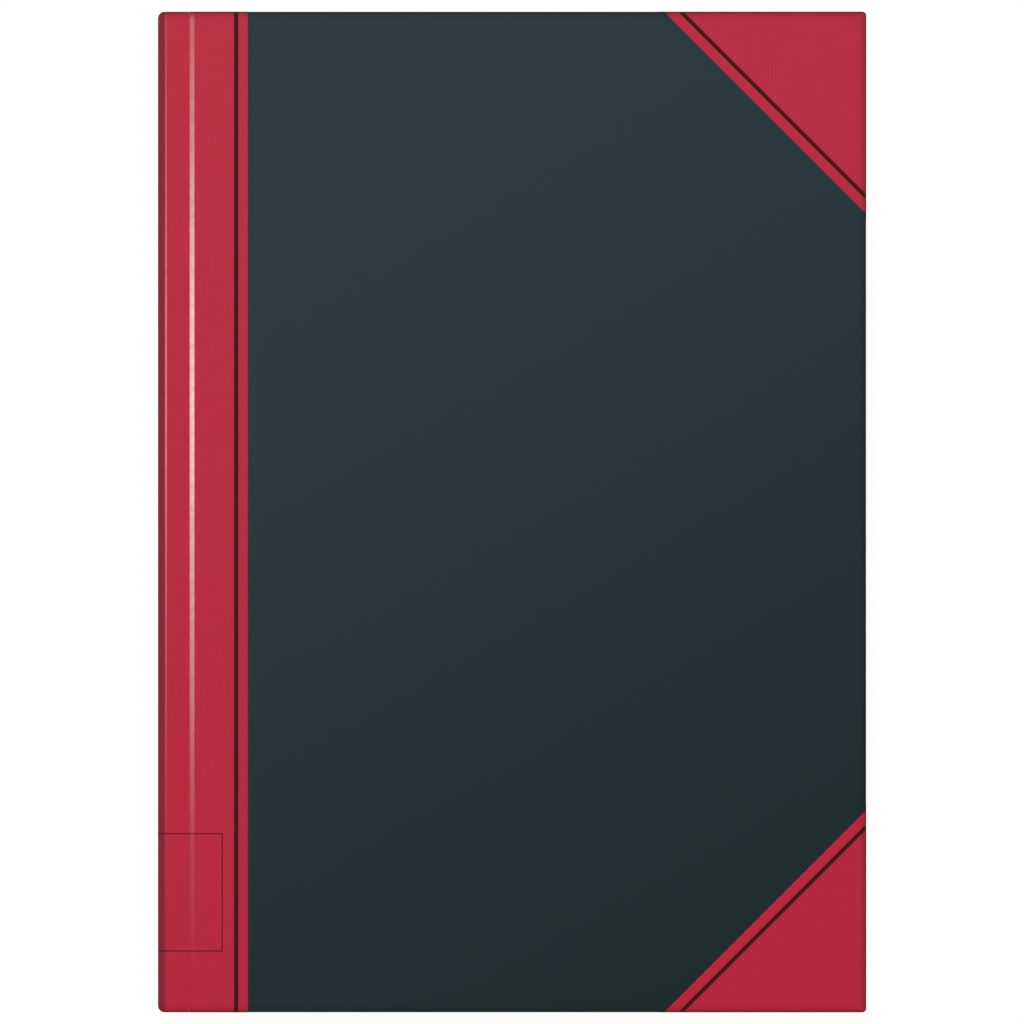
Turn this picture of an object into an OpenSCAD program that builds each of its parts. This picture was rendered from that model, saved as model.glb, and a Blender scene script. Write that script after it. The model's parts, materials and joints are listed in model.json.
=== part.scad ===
// Clothbound notebook: a sewn text block in a case with a cloth spine and cloth corners.
// X runs from the spine to the fore edge, Y from tail to head, Z from the back cover to the front.
// Inside the modules, X is measured from the outer face of the spine.

/* [Pages] */
// Width of a page, from the fold to the fore edge
page_w = 210; // [148:1:240]
// Height of a page
page_h = 297; // [285:1:340]
// Thickness of one leaf of writing paper
leaf_t = 0.08; // [0.06:0.01:0.12]
// Air between two leaves
leaf_gap = 0.005; // [0.004:0.001:0.01]
// Folded sheets nested in each section
sheets_per_section = 8; // [6:1:10]
// Thickness of an endpaper
endpaper_t = 0.15; // [0.1:0.01:0.25]

/* [Sewing] */
// Diameter of the sewing thread
thread_d = 0.2; // [0.16:0.01:0.26]
// Room left all round the thread
thread_room = 0.02; // [0.01:0.01:0.05]
// Distance from the head and the tail to the outermost stitches
kettle_inset = 18; // [12:1:30]
// Width of the saw kerfs that let the thread through the folds
kerf_w = 0.5; // [0.4:0.05:1]

/* [Boards] */
// Thickness of the cover boards
board_t = 2; // [1.8:0.1:3]
// Overhang of the covers past the pages at head, tail and fore edge
square = 3; // [2:0.5:5]
// Width of the cloth joint between the hinge line and the board
joint_w = 6.5; // [6:0.1:10]
// Rounding of the covered edge of the board along the joint
board_edge_r = 1.4; // [0.6:0.1:1.5]
// Rounding of the crease at the foot of that edge
joint_crease_r = 0.6; // [0.3:0.1:0.7]
// Radius of the cover's corners at the fore edge
fore_corner_r = 1.2; // [0.6:0.1:3]

/* [Covering] */
// Thickness of the book cloth and of the cover paper
cloth_t = 0.3; // [0.2:0.05:0.4]
// Depth of the turn-ins on the inside of the boards
turn_in = 15; // [12:1:16]
// Width of cloth that shows on the cover, from the spine face
cloth_strip_w = 27.3; // [20:0.1:34]
// Length of a cloth corner along the edges of the board
corner_leg = 60.9; // [40:0.1:80]
// Width of the stamped rules
rule_w = 1.2; // [0.6:0.1:2]
// Distance of the rules from the edge of the cloth
rule_inset = 3; // [1.5:0.1:5]
// Thickness of the stamped foil
rule_t = 0.06; // [0.04:0.01:0.1]
// Depth of the foil below the face of the cloth
rule_sink = 0.02; // [0.01:0.01:0.05]

/* [Spine] */
// Radius of the two shoulders of the spine
shoulder_r = 2.7; // [2.5:0.1:3.2]
// Radius of the spine's corners at head and tail
spine_corner_r = 2; // [1:0.1:2.4]
// Thickness of the card that stiffens the spine
spine_card_t = 0.5; // [0.4:0.05:0.6]
// Angle by which the card follows each shoulder
card_wrap_angle = 20; // [5:1:20]
// Thickness of the kraft paper lining
lining_t = 0.2; // [0.1:0.01:0.25]
// Thickness of the open cloth lining
mull_t = 0.1; // [0.08:0.01:0.14]
// Height of the open cloth lining and of the kraft lining
mull_h = 264; // [240:1:266]
// Reach of the open cloth lining onto each board
mull_wing_w = 25; // [15:1:35]
// Thickness of the glue on the folds
glue_t = 0.4; // [0.35:0.01:0.5]
// Depth to which the glue fills the valleys between the folds
glue_bite = 0.4; // [0.2:0.05:0.5]

/* [Turning] */
// Gap in the cloth along each hinge line
hinge_gap = 0.3; // [0.2:0.05:0.5]
// Distance from the spine face to the bend of a flyleaf
flyleaf_bend_x = 11; // [10.8:0.1:12]
// Distance from the bend of the flyleaf to the bend of the first leaves
leaf_bend_step = 2; // [1.8:0.1:4]
// Gap in the paper along each bend
bend_gap = 0.2; // [0.1:0.05:0.3]
// Air between a flyleaf and the pastedown that faces it
part_gap = 0.05; // [0.03:0.01:0.1]

/* [Hidden] */
$fn = 48;
arc_steps = 8;
over = 1;
section_count = 6;
station_count = 6;
thread_sides = 6;

// Sizes of the text block and of the case around it
leaf_pitch = leaf_t + leaf_gap;
thread_channel = thread_d + 2 * thread_room;
section_t = 2 * sheets_per_section * leaf_pitch + thread_channel;
block_t = section_count * section_t;
spine_t = cloth_t + spine_card_t + lining_t + mull_t + glue_t;
fold_x = spine_t + section_t / 2;
page_end_x = spine_t + page_w;
overall_w = page_end_x + square;
cover_h = page_h + 2 * square;

// Levels from the outer face of a cover inwards
board_z = cloth_t + board_t;
turn_in_z = board_z + cloth_t;
pastedown_z = turn_in_z + endpaper_t;
flyleaf_z = pastedown_z + part_gap;
block_z = flyleaf_z + endpaper_t + leaf_gap;
book_t = 2 * block_z + block_t;
joint_inner_z = turn_in_z - mull_t;
joint_z = joint_inner_z - cloth_t;

// Places along X of the hinge line, the board and the inner linings
wing_x = shoulder_r + hinge_gap;
riser_x = wing_x + joint_w;
board_x = riser_x + cloth_t;
edge_x = riser_x + board_edge_r;
card_x = cloth_t + spine_card_t;
mull_x = card_x + lining_t;
glue_x = mull_x + mull_t;
thread_x = spine_t - thread_channel / 2;
shoulder_z = joint_z + shoulder_r;
mull_r = shoulder_r - mull_x;
leaf_bend_x = flyleaf_bend_x + leaf_bend_step;
rule_x = cloth_strip_w - rule_inset - rule_w;

cloth_red = [0.70, 0.17, 0.24];
paper_slate = [0.18, 0.22, 0.24];
foil_maroon = [0.26, 0.10, 0.11];
page_cream = [0.95, 0.93, 0.86];
endpaper_white = [0.93, 0.92, 0.89];
board_grey = [0.58, 0.55, 0.50];
kraft_brown = [0.67, 0.52, 0.36];
gauze_white = [0.90, 0.88, 0.82];
glue_amber = [0.93, 0.86, 0.66];

// Points of a round stretch of an outline, from one angle to the other
function arc(centre, r, from, to) =
    [for (i = [0:arc_steps]) let (a = from + (to - from) * i / arc_steps)
        centre + r * [cos(a), sin(a)]];

// A list in the opposite order
function backwards(list) = [for (i = [len(list) - 1:-1:0]) list[i]];

// Height of the middle of a section, counted from the front cover
function section_z(s) = book_t - block_z - (s - 0.5) * section_t;

// Place of a sewing station along the spine
function station_y(i) =
    (page_h / 2 - kettle_inset) * (2 * i / (station_count - 1) - 1);

// Moves the finished pieces so that the origin is under the middle of the book
module placed() {
    translate([-overall_w / 2, 0, 0]) children();
}

// Turns a piece of the back cover into its twin on the front cover
module on_front() {
    translate([0, 0, book_t]) mirror([0, 0, 1]) children();
}

// Runs an outline drawn in X and Z along the height of the book
module along_book(height) {
    rotate([90, 0, 0]) linear_extrude(height = height, center = true) children();
}

// A flat sheet or bar between two X places and two Z levels, centred on the height of the book
module slab(x0, x1, z0, z1, height) {
    translate([x0, -height / 2, z0]) cube([x1 - x0, height, z1 - z0]);
}

// Text block

// One folded sheet: two leaves joined by a round fold, pierced by the saw kerfs
module folded_sheet(k, z, front_end_x) {
    outer_r = section_t / 2 - leaf_gap / 2 - k * leaf_pitch;
    inner_r = outer_r - leaf_t;
    translate([0, 0, z]) difference() {
        along_book(page_h) difference() {
            union() {
                translate([fold_x, 0]) circle(outer_r);
                translate([fold_x, -outer_r]) square([page_end_x - fold_x, outer_r]);
                translate([fold_x, 0]) square([front_end_x - fold_x, outer_r]);
            }
            translate([fold_x, 0]) circle(inner_r);
            translate([fold_x, -inner_r]) square([page_w, 2 * inner_r]);
        }
        for (i = [0:station_count - 1])
            translate([spine_t - over, station_y(i) - kerf_w / 2, -section_t])
                cube([fold_x + thread_d / 2 - spine_t + over, kerf_w, 2 * section_t]);
    }
}

// One section: sheets nested in each other, the outermost first
module section(s, front_end_x = page_end_x) {
    color(page_cream) placed()
        for (k = [0:sheets_per_section - 1])
            folded_sheet(k, section_z(s), front_end_x);
}

// The first section keeps only the gutter of its front leaves, the rest of them turns
module first_section() {
    section(1, leaf_bend_x - bend_gap);
}

// The turning part of the front leaves of the first section
module first_leaves() {
    color(page_cream) placed()
        for (k = [0:sheets_per_section - 1])
            let (top = section_z(1) + section_t / 2 - leaf_gap / 2 - k * leaf_pitch)
                slab(leaf_bend_x, page_end_x, top - leaf_t, top, page_h);
}

// Corners of the thread's way through one section: in at even stations, out at odd ones
function thread_in_section(s) =
    [for (j = [0:station_count - 1])
        let (i = s % 2 == 1 ? j : station_count - 1 - j,
             out = [thread_x, station_y(i), section_z(s)],
             inside = [fold_x, station_y(i), section_z(s)])
        each (j % 2 == 0 ? [out, inside] : [inside, out])];

function thread_path() = [for (s = [1:section_count]) each thread_in_section(s)];

// Unit direction from one path point to the next
function heading(path, i) =
    let (d = path[i + 1] - path[i]) d / norm(d);

// Slides a ring along a straight run to the mitre plane at the run's end
function slide_ring(ring, run, point, normal) =
    [for (q = ring) q + run * (((point - q) * normal) / (run * normal))];

// Rings of a tube: each ring is the one before it, carried along the run to the next mitre
function tube_rings(path, ring, i = 1) =
    let (run = heading(path, i - 1),
         next = i < len(path) - 1 ? heading(path, i) : run,
         moved = slide_ring(ring, run, path[i], run + next))
    i == len(path) - 1 ? [moved] : concat([moved], tube_rings(path, moved, i + 1));

// One unbroken thread through all sections, squared up at its corners
module sewing_thread() {
    path = thread_path();
    first_ring = [for (i = [0:thread_sides - 1])
        path[0] + thread_d / 2 * [0, cos(360 * i / thread_sides), sin(360 * i / thread_sides)]];
    rings = concat([first_ring], tube_rings(path, first_ring));
    last = (len(rings) - 1) * thread_sides;
    walls = [for (r = [0:len(rings) - 2], i = [0:thread_sides - 1])
        let (a = r * thread_sides + i,
             b = r * thread_sides + (i + 1) % thread_sides)
        each [[a, a + thread_sides, b], [b, a + thread_sides, b + thread_sides]]];
    caps = [
        [for (i = [0:thread_sides - 1]) i],
        [for (i = [thread_sides - 1:-1:0]) last + i]
    ];
    color(gauze_white) placed()
        polyhedron(points = [for (ring = rings) each ring], faces = concat(walls, caps));
}

// Spine linings

// Outline in X and Z that goes round the spine at one depth, open towards the fore edge
function spine_round(x, r, z) = concat(
    backwards(arc([x + r, z + r], r, 180, 270)),
    arc([x + r, book_t - z - r], r, 180, 90)
);

// A sheet of even thickness that goes round the spine and ends at the hinge lines
module spine_wrap(x, r, z, t, height) {
    along_book(height)
        polygon(concat(spine_round(x, r, z), backwards(spine_round(x + t, r - t, z + t))));
}

// Plan of the spine, rounded at head and tail and drawn in by an inset
module spine_plan(inset) {
    r = spine_corner_r - inset;
    half = cover_h / 2;
    linear_extrude(height = book_t) polygon(concat(
        [[shoulder_r + over, half - inset]],
        arc([spine_corner_r, half - spine_corner_r], r, 90, 180),
        arc([spine_corner_r, -half + spine_corner_r], r, 180, 270),
        [[shoulder_r + over, -half + inset]]
    ));
}

// Glue that holds the folds together and fills the valleys between them
module spine_glue() {
    color(glue_amber) placed() difference() {
        intersection() {
            along_book(page_h) polygon(spine_round(glue_x, mull_r - mull_t, joint_inner_z + mull_t));
            slab(0, spine_t + glue_bite, 0, book_t, page_h);
        }
        for (s = [1:section_count]) {
            translate([fold_x, 0, section_z(s)]) rotate([90, 0, 0])
                cylinder(r = section_t / 2, h = page_h + over, center = true);
            for (i = [1:2:station_count - 2])
                translate([thread_x - thread_channel / 2, station_y(i),
                           section_z(s) - thread_channel / 2])
                    cube([glue_t, station_y(i + 1) - station_y(i), thread_channel]);
        }
        for (i = [0:station_count - 1])
            translate([thread_x - thread_channel / 2, station_y(i) - kerf_w / 2, 0])
                cube([section_t, kerf_w, book_t]);
    }
}

// Open cloth glued over the folds, the part of it that stays with the block
module mull() {
    color(gauze_white) placed() spine_wrap(mull_x, mull_r, joint_inner_z, mull_t, mull_h);
}

// Kraft paper on the flat of the spine
module kraft_lining() {
    color(kraft_brown) placed()
        slab(card_x, mull_x, shoulder_z, book_t - shoulder_z, mull_h);
}

// Card strip that gives the spine its flat back, bent a little round the shoulders
module spine_card() {
    color(board_grey) placed() card_strip();
}

module card_strip() {
    outer_r = shoulder_r - cloth_t;
    inner_r = outer_r - spine_card_t;
    low = [shoulder_r, shoulder_z];
    high = [shoulder_r, book_t - shoulder_z];
    intersection() {
        along_book(cover_h) polygon(concat(
            arc(low, outer_r, 180 + card_wrap_angle, 180),
            arc(high, outer_r, 180, 180 - card_wrap_angle),
            arc(high, inner_r, 180 - card_wrap_angle, 180),
            arc(low, inner_r, 180, 180 + card_wrap_angle)
        ));
        spine_plan(cloth_t);
    }
}

// Book cloth round the spine, turned over the ends of the card at head and tail
module spine_cloth() {
    end_h = spine_corner_r + cloth_t;
    flat_t = book_t - 2 * shoulder_z;
    color(cloth_red) placed() difference() {
        intersection() {
            union() {
                spine_wrap(0, shoulder_r, joint_z, cloth_t, cover_h);
                for (end = [0, 1]) mirror([0, end, 0]) {
                    translate([0, cover_h / 2 - end_h, shoulder_z])
                        cube([card_x + cloth_t, end_h, flat_t]);
                    translate([card_x, cover_h / 2 - turn_in, shoulder_z])
                        cube([cloth_t, turn_in, flat_t]);
                }
            }
            spine_plan(0);
        }
        card_strip();
    }
}

// Endpapers

// Gutter of a flyleaf, pasted to the section under it
module tipped_strip() {
    color(endpaper_white)
        slab(shoulder_r, flyleaf_bend_x - bend_gap, flyleaf_z, flyleaf_z + endpaper_t, page_h);
}

// The free part of a flyleaf
module flyleaf() {
    color(endpaper_white)
        slab(flyleaf_bend_x, page_end_x, flyleaf_z, flyleaf_z + endpaper_t, page_h);
}

// Inside of a board that the turn-ins leave bare
module bare_field(z0, z1) {
    slab(board_x, overall_w - turn_in, z0, z1, cover_h - 2 * turn_in);
}

// The pasted leaf: it crosses the joint and beds in paste between the turn-ins
module pastedown() {
    color(endpaper_white) difference() {
        union() {
            slab(wing_x, page_end_x, turn_in_z, pastedown_z, page_h);
            bare_field(board_z, turn_in_z);
        }
        mull_wing();
    }
}

// The part of the open cloth lining that crosses the joint and is glued to the board
module mull_wing() {
    color(gauze_white) along_book(mull_h) polygon([
        [wing_x, joint_inner_z], [board_x, joint_inner_z],
        [board_x, board_z], [board_x + mull_wing_w, board_z],
        [board_x + mull_wing_w, board_z + mull_t], [board_x + mull_t, board_z + mull_t],
        [board_x + mull_t, turn_in_z], [wing_x, turn_in_z]
    ]);
}

// Covers

// Plan of a cover, rounded at the fore edge and drawn in by an inset
module cover_plan(inset) {
    r = fore_corner_r - inset;
    half = cover_h / 2;
    linear_extrude(height = book_t) polygon(concat(
        [[0, -half + inset]],
        arc([overall_w - fore_corner_r, -half + fore_corner_r], r, -90, 0),
        arc([overall_w - fore_corner_r, half - fore_corner_r], r, 0, 90),
        [[0, half - inset]]
    ));
}

// A cover's body in X and Z, rounded along the joint, drawn in by an inset up to a level
module cover_body(inset, top_z) {
    intersection() {
        along_book(cover_h) polygon(concat(
            arc([edge_x, board_edge_r], board_edge_r - inset, 180, 270),
            [[overall_w - inset, inset], [overall_w - inset, top_z], [riser_x + inset, top_z]]
        ));
        cover_plan(inset);
    }
}

// Grey board that stiffens a cover
module board() {
    color(board_grey) cover_body(cloth_t, board_z);
}

// The whole covering of a board: outer face, edges and turn-ins
module jacket() {
    difference() {
        cover_body(0, turn_in_z);
        cover_body(cloth_t, board_z);
        bare_field(board_z, turn_in_z + over);
        slab(0, board_x, joint_inner_z, turn_in_z + over, cover_h + over);
    }
}

// Space that a cloth corner takes: a triangle outside, mirrored along the edges inside
module corner_space() {
    half = cover_h / 2;
    start_x = overall_w - corner_leg;
    start_y = half - corner_leg;
    fold = [[start_x, half + over], [overall_w + over, half + over], [overall_w + over, start_y]];
    middle_z = (cloth_t + board_z) / 2;
    translate([0, 0, -over]) linear_extrude(height = middle_z + over)
        polygon(concat([[start_x, half]], fold, [[overall_w, start_y]]));
    translate([0, 0, middle_z]) linear_extrude(height = turn_in_z)
        polygon(concat([[start_x, half]], fold, [
            [overall_w, start_y],
            [overall_w - turn_in, start_y - turn_in],
            [overall_w - turn_in, half - turn_in],
            [start_x - turn_in, half - turn_in]
        ]));
}

// Stamped line parallel to the long edge of a cloth corner, from one depth to another
module corner_rule_bar(z0, z1) {
    half = cover_h / 2;
    near = corner_leg - rule_inset * sqrt(2);
    far = near - rule_w * sqrt(2);
    translate([0, 0, z0]) linear_extrude(height = z1 - z0) polygon([
        [overall_w - near, half], [overall_w - far, half],
        [overall_w, half - far], [overall_w, half - near]
    ]);
}

// Cloth corner at the head, with the recess that its rule is stamped into
module corner_cloth() {
    color(cloth_red) difference() {
        intersection() {
            jacket();
            corner_space();
        }
        corner_rule_bar(-over, rule_sink + rule_t);
    }
}

module corner_rule() {
    color(foil_maroon) corner_rule_bar(rule_sink, rule_sink + rule_t);
}

// Cover paper: everything on the board that the cloth leaves free
module cover_paper() {
    color(paper_slate) difference() {
        jacket();
        slab(0, cloth_strip_w, -over, book_t, cover_h + over);
        corner_space();
        mirror([0, 1, 0]) corner_space();
    }
}

// Cloth of the joint: from the hinge line through the crease, up and onto the board
module hinge_cloth() {
    crease = [riser_x - joint_crease_r, joint_z - joint_crease_r];
    color(cloth_red) difference() {
        union() {
            intersection() {
                jacket();
                slab(0, cloth_strip_w, -over, book_t, cover_h + over);
            }
            along_book(cover_h) polygon(concat(
                [[wing_x, joint_inner_z], [wing_x, joint_z]],
                arc(crease, joint_crease_r, 90, 0),
                [[board_x, joint_z - joint_crease_r], [board_x, joint_inner_z]]
            ));
        }
        slab(rule_x, rule_x + rule_w, -over, rule_sink + rule_t, cover_h + over);
    }
}

module spine_rule() {
    color(foil_maroon)
        slab(rule_x, rule_x + rule_w, rule_sink, rule_sink + rule_t, cover_h);
}

first_section();  // section_1
section(2);  // section_2
section(3);  // section_3
section(4);  // section_4
section(5);  // section_5
section(6);  // section_6
first_leaves();
sewing_thread();
spine_glue();
mull();
kraft_lining();
spine_card();
spine_cloth();
placed() on_front() tipped_strip();  // front_tipped_strip
placed() tipped_strip();  // back_tipped_strip
placed() on_front() flyleaf();  // front_flyleaf
placed() flyleaf();  // back_flyleaf
placed() on_front() board();  // front_board
placed() on_front() cover_paper();  // front_cover_paper
placed() on_front() hinge_cloth();  // front_hinge_cloth
placed() on_front() corner_cloth();  // front_head_corner
placed() on_front() mirror([0, 1, 0]) corner_cloth();  // front_tail_corner
placed() on_front() spine_rule();  // front_spine_rule
placed() on_front() corner_rule();  // front_head_corner_rule
placed() on_front() mirror([0, 1, 0]) corner_rule();  // front_tail_corner_rule
placed() on_front() mull_wing();  // front_mull_wing
placed() on_front() pastedown();  // front_pastedown
placed() board();  // back_board
placed() cover_paper();  // back_cover_paper
placed() hinge_cloth();  // back_hinge_cloth
placed() corner_cloth();  // back_head_corner
placed() mirror([0, 1, 0]) corner_cloth();  // back_tail_corner
placed() spine_rule();  // back_spine_rule
placed() corner_rule();  // back_head_corner_rule
placed() mirror([0, 1, 0]) corner_rule();  // back_tail_corner_rule
placed() mull_wing();  // back_mull_wing
placed() pastedown();  // back_pastedown
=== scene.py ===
"""A closed clothbound notebook on its CAD frame, with the camera, light and floor of the photograph."""
import json

import bmesh
import bpy
import numpy as np
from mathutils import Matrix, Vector


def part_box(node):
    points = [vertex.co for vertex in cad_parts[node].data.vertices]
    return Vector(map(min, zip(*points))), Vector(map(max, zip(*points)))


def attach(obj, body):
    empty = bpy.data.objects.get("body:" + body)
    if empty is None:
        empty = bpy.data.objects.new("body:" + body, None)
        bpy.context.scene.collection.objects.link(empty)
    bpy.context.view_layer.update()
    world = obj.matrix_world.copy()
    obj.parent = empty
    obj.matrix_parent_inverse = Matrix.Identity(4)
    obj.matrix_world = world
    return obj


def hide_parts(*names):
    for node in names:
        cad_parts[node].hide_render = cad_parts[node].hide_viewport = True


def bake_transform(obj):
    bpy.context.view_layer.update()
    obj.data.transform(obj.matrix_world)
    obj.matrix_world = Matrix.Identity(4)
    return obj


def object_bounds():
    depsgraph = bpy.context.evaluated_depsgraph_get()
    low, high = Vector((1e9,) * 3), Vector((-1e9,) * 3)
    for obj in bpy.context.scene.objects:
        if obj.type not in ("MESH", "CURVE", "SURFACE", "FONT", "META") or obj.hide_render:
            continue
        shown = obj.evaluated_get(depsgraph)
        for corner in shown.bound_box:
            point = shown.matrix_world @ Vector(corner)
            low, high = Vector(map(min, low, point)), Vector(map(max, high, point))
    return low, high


# The frame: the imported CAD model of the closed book, lying on its back cover with the spine at -X.
# Its boxes give the levels that the pieces below are built on.
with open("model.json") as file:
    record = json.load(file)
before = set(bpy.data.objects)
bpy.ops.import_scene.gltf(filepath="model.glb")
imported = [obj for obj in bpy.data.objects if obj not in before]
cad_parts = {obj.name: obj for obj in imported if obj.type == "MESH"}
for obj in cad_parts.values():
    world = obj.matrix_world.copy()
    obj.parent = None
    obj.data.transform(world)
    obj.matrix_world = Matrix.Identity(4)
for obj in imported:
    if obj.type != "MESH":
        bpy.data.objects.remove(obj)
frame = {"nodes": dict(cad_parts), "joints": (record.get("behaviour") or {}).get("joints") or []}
cad_low, cad_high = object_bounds()
MM = 0.001
spine_x, tail_y, back_z = cad_low
fore_x, head_y, front_z = cad_high
nodes = frame["nodes"]
hinges = {joint["name"]: Vector(joint["pos_m"]) for joint in frame["joints"]}

# The studio: a camera far above the book, a large soft lamp beside it, towards the head and the spine,
# and a pale floor that is white for the camera and keeps the book's shadow.
PICTURE_SHARE = 1.0232
CAMERA_UP = 10.0
LAMP_PLACE = (-0.3, 0.55, 2.0)
LAMP_SIZE = 0.8
LAMP_WATTS = 32.5
AMBIENT = 0.35
SHADOW_SHARE = 0.07
FLOOR_GLOW = 1.02
FLOOR_HALF = 2.0
FLOOR_GAP = 0.05 * MM
scene = bpy.context.scene
scene.view_settings.view_transform = "Standard"
camera_data = bpy.data.cameras.new("camera")
camera_data.sensor_width = 36.0
camera_data.lens = camera_data.sensor_width * CAMERA_UP / (PICTURE_SHARE * (head_y - tail_y))
camera_data.clip_end = 5 * CAMERA_UP
camera = bpy.data.objects.new("camera", camera_data)
camera.location = ((spine_x + fore_x) / 2, (tail_y + head_y) / 2, front_z + CAMERA_UP)
scene.collection.objects.link(camera)
scene.camera = camera

lamp_data = bpy.data.lights.new("key_lamp", "AREA")
lamp_data.shape = "SQUARE"
lamp_data.size = LAMP_SIZE
lamp_data.energy = LAMP_WATTS
lamp = bpy.data.objects.new("key_lamp", lamp_data)
lamp.location = LAMP_PLACE
lamp.rotation_euler = (-Vector(LAMP_PLACE)).to_track_quat("-Z", "Y").to_euler()
scene.collection.objects.link(lamp)


def put(tree, kind, inputs=(), **settings):
    """A new node: settings are its properties, inputs maps a socket to a value or to a source socket."""
    node = tree.nodes.new(kind)
    for key, value in settings.items():
        setattr(node, key, value)
    for key, value in dict(inputs).items():
        if isinstance(value, bpy.types.NodeSocket):
            tree.links.new(value, node.inputs[key])
        else:
            node.inputs[key].default_value = value
    return node


def calc(tree, operation, *values):
    """The result of a Math node on values, each a number or a socket."""
    return put(tree, "ShaderNodeMath", dict(enumerate(values)), operation=operation).outputs[0]


def background_rays(tree):
    """1 for the rays that show the background: from the camera, off a gloss or through glass."""
    rays = put(tree, "ShaderNodeLightPath").outputs
    direct = calc(tree, "MAXIMUM", rays["Is Camera Ray"], rays["Is Glossy Ray"])
    return calc(tree, "MAXIMUM", direct, rays["Is Transmission Ray"])


world = bpy.data.worlds.new("studio")
world.use_nodes = True
scene.world = world
sky = world.node_tree
sky.nodes["Background"].inputs["Color"].default_value = (1.0, 1.0, 1.0, 1.0)
sky_strength = calc(sky, "MULTIPLY_ADD", background_rays(sky), 1.0 - AMBIENT, AMBIENT)
sky.links.new(sky_strength, sky.nodes["Background"].inputs["Strength"])

floor_mesh = bpy.data.meshes.new("floor")
floor_square = FLOOR_HALF * np.array([(-1, -1), (1, -1), (1, 1), (-1, 1)])
floor_mesh.from_pydata([(x, y, back_z - FLOOR_GAP) for x, y in floor_square], [], [(0, 1, 2, 3)])
floor = bpy.data.objects.new("floor", floor_mesh)
scene.collection.objects.link(floor)
floor_paint = bpy.data.materials.new("floor_paint")
floor_paint.use_nodes = True
tree = floor_paint.node_tree
matt = put(tree, "ShaderNodeBsdfDiffuse", {"Color": (0.9, 0.9, 0.9, 1.0)})
glow = put(tree, "ShaderNodeEmission", {"Color": (1.0, 1.0, 1.0, 1.0), "Strength": FLOOR_GLOW})
seen = calc(tree, "MULTIPLY", background_rays(tree), 1.0 - SHADOW_SHARE)
mixed = put(tree, "ShaderNodeMixShader", {0: seen, 1: matt.outputs[0], 2: glow.outputs[0]})
tree.links.new(mixed.outputs[0], tree.nodes["Material Output"].inputs["Surface"])
floor_mesh.materials.append(floor_paint)

# The pages: six sewn sections of cream writing paper with pale ruled lines, trimmed flush.
# The first eight leaves are built as separate thin sheets, with close columns where they would bend out of
# the gutter.
LEAVES = 8
LEAF_T = 0.08 * MM
LEAF_BEND = 6.0 * MM
TRIM_STEP = 0.03 * MM
TRIM_TURN = 2.3
LEAF_EDGE_STRETCH = (30.0, 30.0, 9000.0)
INK_SHARE = 0.6
COARSE_SHARE = 0.6
WELD = 0.5e-6
SHARP = np.radians(40.0)
RULING = {
    "pitch": 8.0 * MM,
    "half_line": 0.11 * MM,
    "head": 24.0 * MM,
    "tail": 13.0 * MM,
    "side": 7.0 * MM,
}


def quads(rows, cols, first=0):
    """The faces of a grid of points, rows along Y and columns along X, counted from first."""
    index = first + np.arange(rows * cols).reshape(rows, cols)
    corners = [index[:-1, :-1], index[:-1, 1:], index[1:, 1:], index[1:, :-1]]
    return np.stack(corners, axis=-1).reshape(-1, 4)


def closed_sheet(upper, lower):
    """Points and faces of the thin solid between two grids of one shape: both sides and the rim."""
    rows, cols = upper.shape[:2]
    count = rows * cols
    index = np.arange(count).reshape(rows, cols)
    ring = np.concatenate([index[0, :-1], index[:-1, -1], index[-1, :0:-1], index[:0:-1, 0]])
    after = np.roll(ring, -1)
    rim = np.stack([ring, ring + count, after + count, after], axis=-1)
    faces = np.concatenate([quads(rows, cols), quads(rows, cols, count)[:, ::-1], rim])
    return np.concatenate([upper.reshape(-1, 3), lower.reshape(-1, 3)]), faces


def join(parts):
    """One array each of points, faces and any further values per point, out of several."""
    counts = np.cumsum([0] + [len(part[0]) for part in parts])
    faces = np.concatenate([part[1] + start for part, start in zip(parts, counts)])
    extra = [np.concatenate(values) for values in zip(*[part[2:] for part in parts])]
    return (np.concatenate([part[0] for part in parts]), faces, *extra)


def make_mesh(name, points, faces, flat=None):
    """A smooth mesh with a UV in metres per point (X and Y unless flat is given), seams welded.
    Edges steeper than SHARP and open borders stay sharp."""
    mesh = bpy.data.meshes.new(name)
    mesh.from_pydata(points.tolist(), [], faces.tolist())
    corner = np.empty(len(mesh.loops), dtype=np.int32)
    mesh.loops.foreach_get("vertex_index", corner)
    uv = points[:, :2] if flat is None else flat
    mesh.uv_layers.new(name="flat").data.foreach_set("uv", uv[corner].astype(np.float32).ravel())
    work = bmesh.new()
    work.from_mesh(mesh)
    bmesh.ops.remove_doubles(work, verts=work.verts, dist=WELD)
    bmesh.ops.dissolve_degenerate(work, edges=work.edges, dist=WELD)
    work.to_mesh(mesh)
    work.free()
    mesh.shade_smooth()
    mesh.set_sharp_from_angle(angle=SHARP)
    side = np.empty(len(mesh.loops), dtype=np.int32)
    mesh.loops.foreach_get("edge_index", side)
    sharp = mesh.attributes.get("sharp_edge") or mesh.attributes.new("sharp_edge", "BOOLEAN", "EDGE")
    marked = np.empty(len(mesh.edges), dtype=bool)
    sharp.data.foreach_get("value", marked)
    sharp.data.foreach_set("value", marked | (np.bincount(side, minlength=len(marked)) == 1))
    return mesh


def add_piece(name, mesh, material, slot, *stands_for):
    """The object of a finished mesh, with its material and the CAD nodes it stands for, which it hides.
    slot is not used.
    """
    piece = bpy.data.objects.new(name, mesh)
    scene.collection.objects.link(piece)
    mesh.materials.append(material)
    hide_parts(*stands_for)
    return piece


def paint(red, green, blue):
    """The linear colour of an sRGB one given from 0 to 255."""
    part = np.array([red, green, blue]) / 255
    linear = np.where(part <= 0.04045, part / 12.92, ((part + 0.055) / 1.055) ** 2.4)
    return (*linear.tolist(), 1.0)


def mix_colour(tree, factor, a, b):
    """Colour a where factor is 0 and colour b where it is 1."""
    return put(tree, "ShaderNodeMix", {0: factor, 6: a, 7: b}, data_type="RGBA").outputs[2]


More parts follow.
